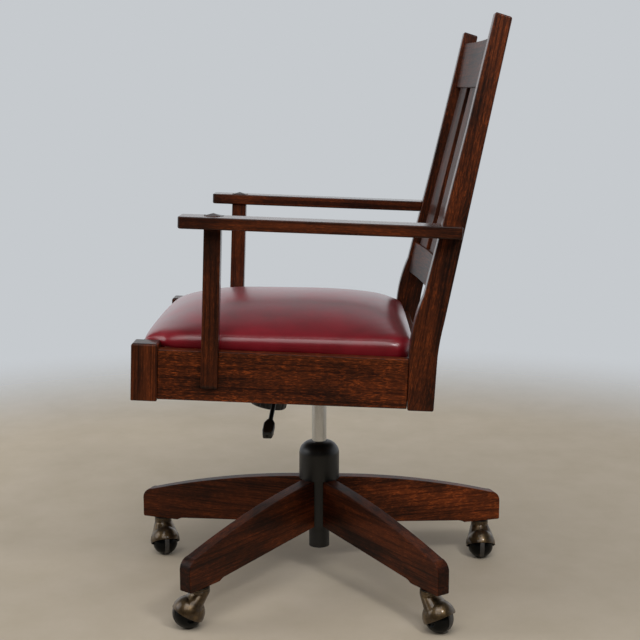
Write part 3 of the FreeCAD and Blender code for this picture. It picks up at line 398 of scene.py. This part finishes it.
# %% [markdown]
# ### Which way each board was cut
# A joiner picks boards: legs with quiet figure, side rails with bold rays, and posts with straight grain.
# Each board's grain runs along its length, and its wide face is the one that shows the figure. A rail
# leans with the seat, and a post or slat with the back. The start of the pattern is drawn at random with
# a fixed seed, so no two boards are alike and each run gives the same chair.

# %% Board coordinates
PATTERN_SPREAD = 5


def set_board_look(piece, grain, face, stain_and_shade, figured, seed):
    """Stores each corner's place in its board, how light the board is drawn with any painted shade, and how
    much ray figure shows.
    """
    along = Vector(grain).normalized()
    through = Vector(face)
    through = (through - along * through.dot(along)).normalized()
    across = through.cross(along)
    draw = random.Random(seed)
    start = Vector([draw.uniform(-PATTERN_SPREAD, PATTERN_SPREAD) for _ in range(3)])
    board = piece.data.attributes.new("board", "FLOAT_VECTOR", "POINT")
    look = piece.data.attributes.new("look", "FLOAT_VECTOR", "POINT")
    along_grain = piece.data.attributes.new("grain", "FLOAT_VECTOR", "POINT")
    for number, vertex in enumerate(piece.data.vertices):
        co = vertex.co
        board.data[number].vector = Vector((co.dot(along), co.dot(across), co.dot(through))) + start
        look.data[number].vector = (stain_and_shade, figured, 0.0)
        along_grain.data[number].vector = along


print("patterns start within", PATTERN_SPREAD, "m of the board")

# %% Boards
LEG_COUNT = 5
LEG_TURN = -0.6
SEAT_LEAN = Matrix.Rotation(math.radians(-2.1), 3, "X")
BACK_RAKE = Matrix.Rotation(math.radians(-10.0), 3, "X")
X, Y, Z = Vector((1, 0, 0)), Vector((0, 1, 0)), Vector((0, 0, 1))
# how light each leg is drawn, one number per leg
LEG_TONES = (1.0, 1.1, 0.9, 0.9, 1.85)
LEG_FIGURES = (0.4, 0.3, 0.35, 0.3, 0.6)

# each board: body, grain, wide face, width of the eased edge in mm, stain and painted shade, figure, polish
# of the lacquer
boards = {}
for number in range(LEG_COUNT):
    a = math.radians(180 + LEG_TURN + 360 / LEG_COUNT * number)
    boards["leg_%d" % (number + 1)] = ("base", Vector((math.cos(a), math.sin(a), 0.0)),
                                       Vector((-math.sin(a), math.cos(a), 0.0)), 1.6, LEG_TONES[number],
                                       LEG_FIGURES[number], "dull")
# the right back post is the far one: its 0.7 is painted shade, darker for the shade on its inner face
for side, post_stain_and_shade in (("left", 1.05), ("right", 0.7)):
    boards["side_rail_" + side] = ("seat", SEAT_LEAN @ Y, X, 1.4, 0.84, 1.0, "satin")
    boards["front_post_" + side] = ("seat", SEAT_LEAN @ Z, X, 1.8, 1.35, 0.2, "satin")
    boards["back_post_" + side] = ("seat", BACK_RAKE @ Z, X, 3.0, post_stain_and_shade, 0.5, "satin")
    boards["arm_post_" + side] = ("seat", SEAT_LEAN @ Z, X, 1.8, 0.84, 0.3, "satin")
    boards["arm_" + side] = ("seat", SEAT_LEAN @ Y, Z, 3.0, 0.9, 0.35, "handled")
for name in ("front_rail", "rear_rail", "crest_rail", "lower_back_rail"):
    boards[name] = ("seat", X, SEAT_LEAN @ Y, 1.5, 0.7, 0.5, "dull")
for number in range(1, 6):
    boards["slat_%d" % number] = ("seat", BACK_RAKE @ Z, BACK_RAKE @ Y, 1.5, 0.85, 0.4, "dull")

for seed, (node, (body, grain, face, width, stain_and_shade, figured, polish)) in enumerate(boards.items()):
    piece = eased_piece(node, body, width * MM)
    finish(piece, lacquered_oak[polish])
    set_board_look(piece, grain, face, stain_and_shade, figured, seed)
print(len(boards), "oak boards eased")

# %% [markdown]
# ## Hidden wood
# Battens and glue blocks stay bare: plain sawn oak without stain or lacquer, so it is dry and pale. The
# seat board is sanded birch plywood. Their grain is one noise, stretched along the chair's width.

# %% Bare woods
GRAIN_LONG = 120 * MM
GRAIN_WIDE = 2 * MM


def bare_wood(name, dark, pale):
    """Planed, unfinished wood with straight grain across the chair."""
    material, tree, sockets = new_material(name, Roughness=0.62)
    place = add(tree, "ShaderNodeTexCoord", out="Object")
    cells = add(tree, "ShaderNodeVectorMath", {0: place, 1: (1 / GRAIN_LONG, 1 / GRAIN_WIDE, 1 / GRAIN_WIDE)},
                operation="MULTIPLY")
    grain = add(tree, "ShaderNodeTexNoise", {"Vector": cells, "Scale": 1.0, "Detail": 3.0, "Distortion": 0.4})
    tone = add(tree, "ShaderNodeValToRGB", {0: grain}, stops=[(0.35, dark), (0.65, pale)])
    tree.links.new(tone, sockets["Base Color"])
    return material


sawn_oak = bare_wood("white_oak_sawn_and_bare", "9A6F49", "B98C62")
sanded_plywood = bare_wood("birch_plywood_sanded", "B08F66", "CDB088")
print("bare woods ready")

# %% [markdown]
# ## Metals and plastics
# The lift tube is satin chrome: steel, ground round and plated, so it reflects in long soft streaks. The
# hub, housing and plate are black powder coat, with a fine orange-peel. The dome, knob and paddle are
# moulded polypropylene with a fine spark-eroded grain. The casters are plated in antique bronze, rubbed
# lighter where hands and floors touch them, over black nylon wheels. All reflect more at a glancing
# angle, which the shader does itself.

# %% Metals
def metal(name, dark, pale, smooth, rough, grain, grain_high):
    """A plated or ground metal whose tone and polish vary a little along its grain."""
    material, tree, sockets = new_material(name, Metallic=1.0)
    place = add(tree, "ShaderNodeTexCoord", out="Object")
    cells = add(tree, "ShaderNodeVectorMath", {0: place, 1: (1 / grain, 1 / grain, 1 / grain_high)},
                operation="MULTIPLY")
    streaks = add(tree, "ShaderNodeTexNoise", {"Vector": cells, "Scale": 1.0, "Detail": 3.0})
    tone = add(tree, "ShaderNodeValToRGB", {0: streaks}, stops=[(0.3, dark), (0.7, pale)])
    tree.links.new(tone, sockets["Base Color"])
    polish = add(tree, "ShaderNodeMapRange", {0: streaks, 1: 0.3, 2: 0.7, 3: smooth, 4: rough})
    tree.links.new(polish, sockets["Roughness"])
    return material


satin_chrome = metal("steel_ground_and_satin_chromed", "B4B5B4", "D6D7D8", 0.17, 0.26, 1.2 * MM, 50 * MM)
bright_steel = metal("steel_bright_zinc_plated", "8C8B88", "A8A7A4", 0.26, 0.38, 3 * MM, 3 * MM)
blacked_steel = metal("steel_zinc_plated_and_blacked", "3A3936", "57554F", 0.34, 0.46, 3 * MM, 3 * MM)
spring_steel = metal("spring_steel_wound_and_oiled", "3C3A39", "5C5A58", 0.3, 0.42, 3 * MM, 3 * MM)
print("metals ready")

# %% Black paint and plastics
def black_part(name, dark, pale, roughness, grain, depth, shine=0.5):
    """A black plastic or painted part with its own fine relief and a little dust in the tone."""
    material, tree, sockets = new_material(name, Roughness=roughness, IOR=1.5, Specular_IOR_Level=shine)
    place = add(tree, "ShaderNodeTexCoord", out="Object")
    relief = add(tree, "ShaderNodeTexNoise", {"Vector": place, "Scale": 1 / grain, "Detail": 2.0})
    tone = add(tree, "ShaderNodeValToRGB", {0: relief}, stops=[(0.35, dark), (0.75, pale)])
    tree.links.new(tone, sockets["Base Color"])
    bump = add(tree, "ShaderNodeBump", {"Height": relief, "Distance": depth, "Strength": 0.4})
    tree.links.new(bump, sockets["Normal"])
    return material


powder_coat = black_part("steel_powder_coated_black", "0A0B0B", "111212", 0.42, 0.9 * MM, 0.05 * MM)
moulded_plastic = black_part("polypropylene_moulded_black", "0B0B0A", "131312", 0.4, 0.7 * MM, 0.03 * MM)
wheel_nylon = black_part("nylon_moulded_glossy_black", "040505", "080909", 0.24, 1.5 * MM, 0.02 * MM, 0.14)
cast_rubber = black_part("rubber_moulded_black", "121212", "1C1B1A", 0.75, 0.8 * MM, 0.06 * MM)
print("black parts ready")

# %% Antique bronze
BRONZE_TONES = [(0.3, "372C20"), (0.5, "53432F"), (0.72, "6E5A3E")]
BRONZE_PATCH = 14 * MM
CASTING_PIT = 2.2 * MM


def antique_bronze():
    """Die-cast zinc plated in antique bronze, in patches from dark to rubbed brown."""
    material, tree, sockets = new_material("zinc_die_cast_antique_bronze_plated", Metallic=1.0,
                                           Coat_Weight=0.6, Coat_Roughness=0.12)
    place = add(tree, "ShaderNodeTexCoord", out="Object")
    patches = add(tree, "ShaderNodeTexNoise", {"Vector": place, "Scale": 1 / BRONZE_PATCH, "Detail": 5.0,
                                               "Roughness": 0.6})
    tone = add(tree, "ShaderNodeValToRGB", {0: patches}, stops=BRONZE_TONES)
    tree.links.new(tone, sockets["Base Color"])
    polish = add(tree, "ShaderNodeMapRange", {0: patches, 1: 0.3, 2: 0.7, 3: 0.5, 4: 0.38})
    tree.links.new(polish, sockets["Roughness"])
    pits = add(tree, "ShaderNodeTexNoise", {"Vector": place, "Scale": 1 / CASTING_PIT, "Detail": 3.0})
    bump = add(tree, "ShaderNodeBump", {"Height": pits, "Distance": 0.12 * MM, "Strength": 0.35})
    tree.links.new(bump, sockets["Normal"])
    return material


bronze = antique_bronze()
print("bronze ready")

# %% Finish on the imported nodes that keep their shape
finishes = {
    sawn_oak: ["front_batten", "rear_batten", "corner_blocks"],
    sanded_plywood: ["seat_board"],
    satin_chrome: ["gas_cylinder"],
    bright_steel: ["piston_rod", "rod_clip", "thrust_bearing", "tilt_axle", "valve_pin"],
    blacked_steel: ["leg_bolts", "caster_sockets", "tension_bolt", "plate_bolts"],
    powder_coat: ["base_hub", "mech_housing", "taper_socket", "lever_rod", "seat_plate"],
    moulded_plastic: ["hub_cover", "guide_bush", "tension_knob", "lever_paddle"],
    wheel_nylon: ["caster_wheels_%d" % n for n in range(1, LEG_COUNT + 1)],
    cast_rubber: ["stop_pad"],
}
for material, members in finishes.items():
    for node in members:
        finish(nodes[node], material)
print(sum(len(m) for m in finishes.values()), "packed nodes finished")

# %% [markdown]
# ## Caster hoods
# Each hood is one casting: a ball-shaped shell with a neck, and inside it a web that carries the axle.
# The plater leaves the web between the wheels plain grey. The web could be a node of its own, but it is
# one casting with the shell. So a hood's copy gets an eased rim and two materials, and a face counts as
# web when it lies inside the shell, close to the plane between the wheels.

# %% Caster hoods
WEB_HALF = 4.5 * MM
SHELL_INSIDE = 28.5 * MM
SHELL_ABOVE_AXLE = 3.0 * MM
HOOD_EDGE = 0.4 * MM
STEM_END = 0.1 * MM
plain_web = black_part("zinc_die_cast_plain_grey", "3C3A39", "4A4846", 0.5, 1.2 * MM, 0.05 * MM)
for number in range(1, LEG_COUNT + 1):
    hood = eased_piece("caster_hood_%d" % number, "caster_%d" % number, HOOD_EDGE)
    finish(hood, bronze, plain_web)
    low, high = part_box("caster_wheels_%d" % number)
    axle = (low + high) / 2
    stem_top = max(v.co.z for v in hood.data.vertices)
    stem_rim = [v.co for v in hood.data.vertices if v.co.z > stem_top - STEM_END]
    stem = sum(stem_rim, Vector()) / len(stem_rim)
    side_way = Vector((stem.y - axle.y, axle.x - stem.x, 0.0)).normalized()
    shell_centre = axle + Vector((0.0, 0.0, SHELL_ABOVE_AXLE))
    for face in hood.data.polygons:
        in_web = abs((face.center - axle).dot(side_way)) < WEB_HALF
        face.material_index = int(in_web and (face.center - shell_centre).length < SHELL_INSIDE)
print(LEG_COUNT, "caster hoods eased")

# %% [markdown]
# ## Tilt spring
# Under the front of the seat a coil spring sits between the knob and the housing. The imported solid is
# only its outer shape. Here it is wound from wire along the same axis; the real spring shortens as the
# seat tips back. A screw modifier would turn a profile too, but a curve with a round bevel closes its ends
# by itself.

# %% Wind the spring
SPRING_TURNS = 3.25
STEPS_PER_TURN = 24
WIRE_RADIUS = 2.2 * MM
KNOB_LEAN = math.radians(12.0)
spring_axis = Vector((0, math.sin(KNOB_LEAN), math.cos(KNOB_LEAN)))
low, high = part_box("tilt_spring")
spring_radius = (high.x - low.x) / 2 - WIRE_RADIUS
middle = (low + high) / 2
length = (high.z - low.z - (high.x - low.x) * math.sin(KNOB_LEAN)) / math.cos(KNOB_LEAN)
deep_way = spring_axis.cross(X)
points = []
total_steps = int(SPRING_TURNS * STEPS_PER_TURN)
for step in range(total_steps + 1):
    share = step / total_steps
    angle = share * SPRING_TURNS * 2 * math.pi
    rise = (share - 0.5) * (length - 2 * WIRE_RADIUS)
    points.append(middle + spring_axis * rise + X * (spring_radius * math.cos(angle))
                  + deep_way * (spring_radius * math.sin(angle)))
wire = bpy.data.curves.new("spring_wire", "CURVE")
wire.dimensions = "3D"
wire.bevel_depth = WIRE_RADIUS
wire.bevel_resolution = 3
wire.use_fill_caps = True
spline = wire.splines.new("POLY")
spline.points.add(len(points) - 1)
for target, point in zip(spline.points, points):
    target.co = (*point, 1.0)
winding = bpy.data.objects.new("spring_winding", wire)
scene.collection.objects.link(winding)
spring_mesh = bpy.data.meshes.new_from_object(winding.evaluated_get(bpy.context.evaluated_depsgraph_get()))
bpy.data.objects.remove(winding)
spring = bpy.data.objects.new("tilt_spring_coil", spring_mesh)
scene.collection.objects.link(spring)
finish(spring, spring_steel)
spring_mesh.shade_smooth()
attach(spring, "mechanism")
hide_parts("tilt_spring")
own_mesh(spring)
print("spring", round(length / MM, 1), "mm long")

# %% [markdown]
# ## Leather seat
# The drop-in seat is foam under oxblood leather: dyed through, glazed, and polished by use. The dye is
# uneven, so the tone is mottled over a hand's width, and the hide's pebbles break up the gloss. The
# pebbles of real cowhide are under 1 mm, too fine to show, so they are drawn 1.6 mm wide. The glaze is a
# clear coat, a little smoother than the hide, because leather shows one broad gloss and a sharper one on
# top of it.

# %% Leather material
PEBBLE = 1.6 * MM
PEBBLE_DEPTH = 0.05 * MM
MOTTLE = 60 * MM


def leather(name, dark, middle, pale):
    """Dyed and glazed hide: small pebbles, soft mottling and a broad gloss."""
    material, tree, sockets = new_material(name, IOR=1.5, Specular_IOR_Level=0.3,
                                           Coat_Weight=0.85, Coat_Roughness=0.25)
    place = add(tree, "ShaderNodeTexCoord", out="Object")
    mottle = add(tree, "ShaderNodeTexNoise", {"Vector": place, "Scale": 1 / MOTTLE, "Detail": 5.0,
                                              "Roughness": 0.55})
    tone = add(tree, "ShaderNodeValToRGB", {0: mottle}, stops=[(0.3, dark), (0.5, middle), (0.72, pale)])
    tree.links.new(tone, sockets["Base Color"])
    polish = add(tree, "ShaderNodeMapRange", {0: mottle, 1: 0.3, 2: 0.7, 3: 0.38, 4: 0.46})
    tree.links.new(polish, sockets["Roughness"])
    pebble = add(tree, "ShaderNodeTexVoronoi", {"Vector": place, "Scale": 1 / PEBBLE}, feature="SMOOTH_F1")
    bump = add(tree, "ShaderNodeBump", {"Height": pebble, "Distance": PEBBLE_DEPTH, "Strength": 0.35})
    tree.links.new(bump, sockets["Normal"])
    return material


oxblood_leather = leather("cowhide_dyed_oxblood_glazed", "6A0914", "7C0D1B", "8A1322")
print("leather ready:", oxblood_leather.name)

# %% [markdown]
# ### The form of the seat
# The upholsterer draws the leather down over foam and a board. It stays full at the rear, between the
# back posts, falls to the front edge in a long slope, and is pulled in tightly at the corners round the
# front posts. A subdivided box would be stiff, and sculpting can't be repeated from a script. So the
# plain solid is remeshed into even voxels. Then its height is scaled from front to rear, the rear is
# pushed out, and the corners are relaxed.

# %% Measures of the seat
VOXEL = 5.0 * MM
SHRINK = 2.0 * MM
SHRINK_ABOVE = 6 * MM
SHRINK_FADE = 4 * VOXEL
FOOT_FADE = 3 * VOXEL
ROUNDING = 14
CORNER_ROUNDING = 60
CORNER_REACH = 75 * MM
REAR_KEPT = 45 * MM
REAR_FREE = 0.25
REAR_PUSH = 10 * MM
REAR_REACH = 60 * MM
REAR_LOW = 12 * MM
REAR_LOW_FADE = 14 * MM
BETWEEN_POSTS = 244 * MM
POST_FADE = 25 * MM
# how far back from the front edge, from 0 to 1, and the share of the solid's height there
HEIGHT_SHARES = ((0.0, 0.84), (0.05, 0.87), (0.1, 0.92), (0.17, 0.95), (0.28, 0.97), (0.5, 0.99), (0.7, 1.02),
                 (0.88, 1.045), (1.0, 1.05))
foot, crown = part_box("cushion")
post_low, post_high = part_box("front_post_left")
post_corners = [Vector((side * min(abs(post_low.x), abs(post_high.x)), post_high.y)) for side in (1, -1)]
print("seat is", round((crown.z - foot.z) / MM, 1), "mm high over all")

# %% Copy the plain cushion
cushion_mesh, work = clean_copy("cushion", "cushion_leather")
work.to_mesh(cushion_mesh)
work.free()
cushion = bpy.data.objects.new("cushion_leather", cushion_mesh)
scene.collection.objects.link(cushion)
remesh = cushion.modifiers.new("remesh", "REMESH")
remesh.mode = "VOXEL"
remesh.voxel_size = VOXEL
bake_modifiers(cushion)
print("cushion has", len(cushion.data.vertices), "corners")

# %% Shape the plain cushion
def ease(share):
    """A smooth step from 0 to 1."""
    share = min(max(share, 0.0), 1.0)
    return share * share * (3 - 2 * share)


def relax(piece, rounds, corners=()):
    """Evens a piece's surface out but holds its foot. With corners given, it works only near those."""
    free = piece.vertex_groups.new(name="free")
    for vertex in piece.data.vertices:
        weight = ease((vertex.co.z - foot.z) / FOOT_FADE)
        weight *= ease(REAR_FREE + (crown.y - vertex.co.y) / REAR_KEPT)
        if corners:
            weight *= max(ease(1 - (vertex.co.xy - corner).length / CORNER_REACH) for corner in corners)
        free.add([vertex.index], weight, "REPLACE")
    smooth = piece.modifiers.new("relax", "SMOOTH")
    smooth.factor = 0.5
    smooth.iterations = rounds
    smooth.vertex_group = "free"
    bake_modifiers(piece)
    piece.vertex_groups.clear()


def set_crown(piece):
    """Scales the height above the foot by a share that changes from the front edge to the rear."""
    for vertex in piece.data.vertices:
        place = (vertex.co.y - foot.y) / (crown.y - foot.y)
        for (before, low_share), (after, high_share) in zip(HEIGHT_SHARES, HEIGHT_SHARES[1:]):
            if before <= place <= after:
                share = low_share + (high_share - low_share) * (place - before) / (after - before)
                vertex.co.z = foot.z + (vertex.co.z - foot.z) * share
                break


def fill_rear(piece):
    """Lets the seat bulge over the rear rail, between the back posts."""
    for vertex in piece.data.vertices:
        rear = ease(1 - (crown.y - vertex.co.y) / REAR_REACH)
        high = ease((vertex.co.z - foot.z - REAR_LOW) / REAR_LOW_FADE)
        inside = ease((BETWEEN_POSTS - abs(vertex.co.x)) / POST_FADE)
        vertex.co.y += REAR_PUSH * rear * high * inside


def draw_in(piece, distance, above):
    """Draws a closed piece in along its normals above a height. The distance fades in over a few voxels."""
    normals = [v.normal.copy() for v in piece.data.vertices]
    for vertex, normal in zip(piece.data.vertices, normals):
        vertex.co -= normal * distance * ease((vertex.co.z - above) / SHRINK_FADE)


set_crown(cushion)
fill_rear(cushion)
relax(cushion, CORNER_ROUNDING, post_corners)
relax(cushion, ROUNDING)
draw_in(cushion, SHRINK, foot.z + SHRINK_ABOVE)
print("shaped height:", round((max(v.co.z for v in cushion.data.vertices) - foot.z) / MM, 1), "mm")

# %% [markdown]
# ### The swell of the leather
# Foam pushes the leather out until the hide pulls tight. A cloth simulation with a low pressure finds
# that balance, and a cap keeps any corner from wandering. The lower edge is pinned, because it is tacked
# under the board. A last relaxing takes out what the voxels leave, and one subdivision makes the gloss
# run smoothly.

# %% Swell the cushion
PRESSURE = 1.1
FRAMES = 20
SWELL_CAP = 6.0 * MM
PIN_SHARE = 1.3
PIN_FADE = 45 * MM


def swell(piece):
    """Blows a closed piece up with cloth pressure, and keeps each corner within a cap of its start."""
    start = [v.co.copy() for v in piece.data.vertices]
    cloth = piece.modifiers.new("cloth", "CLOTH")
    cloth.settings.quality = 6
    cloth.settings.mass = 0.3
    cloth.settings.tension_stiffness = 25
    cloth.settings.compression_stiffness = 25
    cloth.settings.bending_stiffness = 12
    cloth.settings.use_pressure = True
    cloth.settings.uniform_pressure_force = PRESSURE
    cloth.settings.effector_weights.gravity = 0.0
    cloth.collision_settings.use_collision = False
    pins = piece.vertex_groups.new(name="held")
    for vertex in piece.data.vertices:
        pins.add([vertex.index], ease(PIN_SHARE - (vertex.co.z - foot.z) / PIN_FADE), "REPLACE")
    cloth.settings.vertex_group_mass = "held"
    for number in range(1, FRAMES + 1):
        scene.frame_set(number)
    bake_modifiers(piece)
    scene.frame_set(1)
    for vertex, origin in zip(piece.data.vertices, start):
        moved = vertex.co - origin
        if moved.length > 0:
            vertex.co = origin + moved.normalized() * SWELL_CAP * math.tanh(moved.length / SWELL_CAP)


swell(cushion)
relax(cushion, 2 * ROUNDING)
print("swollen height:", round((max(v.co.z for v in cushion.data.vertices) - foot.z) / MM, 1), "mm")

# %% Finish the seat
subdivision = cushion.modifiers.new("subdivision", "SUBSURF")
subdivision.levels = subdivision.render_levels = 1
bake_modifiers(cushion)
cushion.data.shade_smooth()
finish(cushion, oxblood_leather)
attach(cushion, "seat")
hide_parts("cushion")
print("cushion box:", [[round(v, 4) for v in cushion.bound_box[corner]] for corner in (0, 6)])
